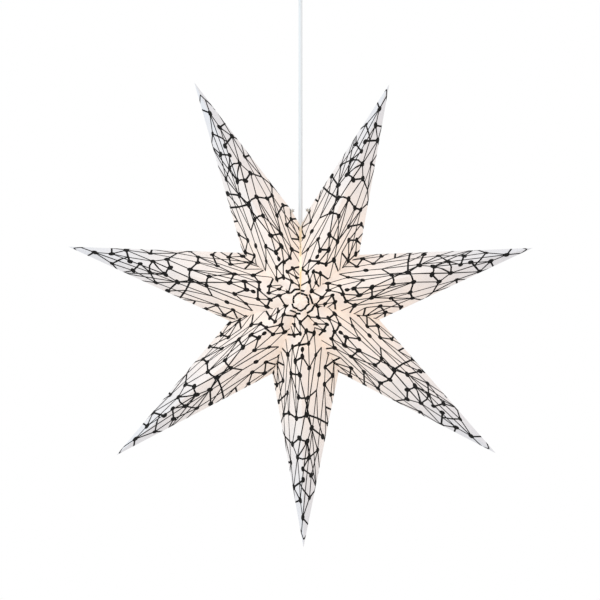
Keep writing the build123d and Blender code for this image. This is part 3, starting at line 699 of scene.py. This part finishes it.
def add_web(mesh, number, outward):
    """Two glue strips of one web, with the paper's thickness."""
    gap = SEAM_HALF if number == SEAM_NOTCH else GLUE_GAP / 2
    for side in (-1, 1):
        outer = []
        for radius, depth in glue_strip(number):
            outer.append(in_star(notch_angle(number), radius, side * depth) - outward * gap)
        near = [mesh.verts.new(place) for place in outer]
        far = [mesh.verts.new(place - outward * PAPER) for place in outer]
        faces = [near, far[::-1]]
        for k in range(len(near)):
            n = (k + 1) % len(near)
            faces.append([near[n], near[k], far[k], far[n]])
        for corners in faces:
            mesh.faces.new(corners[::side]).material_index = INSIDE_SLOT


def paper_point(index):
    """Mesh of a folded paper point: printed outside, bare inside and strips glued to its neighbours."""
    tip = node_tip("point_" + POINTS[index])
    mesh = bmesh.new()
    for side, number in ((-1, index), (1, (index + 1) % len(POINTS))):
        turn = math.radians(notch_angle(number))
        notch = in_star(notch_angle(number), notch_radius(number))
        outward = Vector((-math.sin(turn), 0, math.cos(turn))) * side
        for print_number, middle in enumerate((FRONT, BACK)):
            printed = printed_face(index, print_number, side, tip, notch)
            verts = add_outer_face(mesh, (middle, tip, notch), printed)
            verts += add_inner_face(mesh, (middle, tip, notch))
            if number == SEAM_NOTCH:
                open_seam(verts, side)
        add_web(mesh, number, outward)
    data = bpy.data.meshes.new("paper_" + POINTS[index])
    mesh.to_mesh(data)
    mesh.free()
    for material in (OUTSIDE_PAPER, INK, INSIDE_PAPER):
        data.materials.append(material)
    return data


def flatten(piece):
    """Give a piece its own copy of its mesh, shared with no other object."""
    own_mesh(piece)


for position, point_name in enumerate(POINTS):
    paper = add_object("paper_" + point_name, paper_point(position))
    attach(paper, "lamp" if point_name == "bottom" else point_name)
    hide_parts("point_" + point_name)
    flatten(paper)
SEAM_TRIMS = {0: ("eyelet_left", "seam_hook_pads"), len(POINTS) - 1: ("eyelet_right", "seam_loop_pads")}
for position, trims in SEAM_TRIMS.items():
    for trim in trims:
        flatten(frame["nodes"][trim])

# Cord


def cord():
    """White round flex, pulled straight by the lamp's weight, from the lampholder up into its clamp."""
    data = bpy.data.curves.new("cord_flex", "CURVE")
    data.dimensions = "3D"
    data.bevel_depth = CORD_DIAMETER / 2
    data.bevel_resolution = CORD_ROUNDNESS
    data.use_fill_caps = True
    route = [
        (0, 0, CORD_LOW),
        (0, 0, CORD_EXIT),
        (0, 0, CORD_HIGH - (CORD_EXIT - CORD_LOW)),
        (0, 0, CORD_HIGH),
    ]
    spline = data.splines.new("NURBS")
    spline.points.add(len(route) - 1)
    for control, place in zip(spline.points, route):
        control.co = (*place, 1)
    spline.order_u = 3
    spline.use_endpoint_u = True
    data.materials.append(CORD_SHEATH)
    flex = add_object("cord_flex", data)
    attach(flex, "ceiling")
    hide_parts("cord")


cord()

# Room, light and camera


def studio():
    """White surroundings, a pale floor well below the star and one cool soft light from the left."""
    world = bpy.data.worlds.new("studio")
    world.use_nodes = True
    world.node_tree.nodes["Background"].inputs["Color"].default_value = (1, 1, 1, 1)
    world.node_tree.nodes["Background"].inputs["Strength"].default_value = 1.0
    bpy.context.scene.world = world
    bpy.context.scene.view_settings.view_transform = "Standard"

    mesh = bmesh.new()
    bmesh.ops.create_circle(mesh, cap_ends=True, segments=FLOOR_SIDES, radius=FLOOR_RADIUS)
    data = bpy.data.meshes.new("floor")
    mesh.to_mesh(data)
    mesh.free()
    paint = mottled("floor_paint", *FLOOR_COLOURS, scale=3.0, rough=(0.7, 0.85), grain=60.0, depth=0.0002)
    data.materials.append(paint)
    floor = add_object("floor", data)
    floor.location.z = cad_box[0].z - FLOOR_DROP

    light = bpy.data.lights.new("key", "AREA")
    light.shape = "DISK"
    light.size = KEY_SIZE
    light.energy = KEY_ENERGY
    light.color = KEY_COLOUR
    key = add_object("key", light)
    key.location = CENTRE + KEY_OFFSET
    key.rotation_euler = (-KEY_OFFSET).to_track_quat("-Z", "Y").to_euler()


def camera():
    """Camera at the photograph's distance, height and framing."""
    rise = math.radians(CAMERA_ELEVATION)
    half = FRAME_PIXELS / 2
    shift = Vector((half - STAR_PIXEL[0], 0, STAR_PIXEL[1] - half)) * METRES_PER_PIXEL
    aim = CENTRE + shift
    data = bpy.data.cameras.new("camera")
    data.sensor_width = SENSOR_WIDTH
    data.lens = SENSOR_WIDTH * CAMERA_DISTANCE / (FRAME_PIXELS * METRES_PER_PIXEL)
    made = add_object("camera", data)
    made.location = aim + Vector((0, -math.cos(rise), math.sin(rise))) * CAMERA_DISTANCE
    made.rotation_euler = (aim - made.location).to_track_quat("-Z", "Y").to_euler()
    bpy.context.scene.camera = made


studio()
camera()
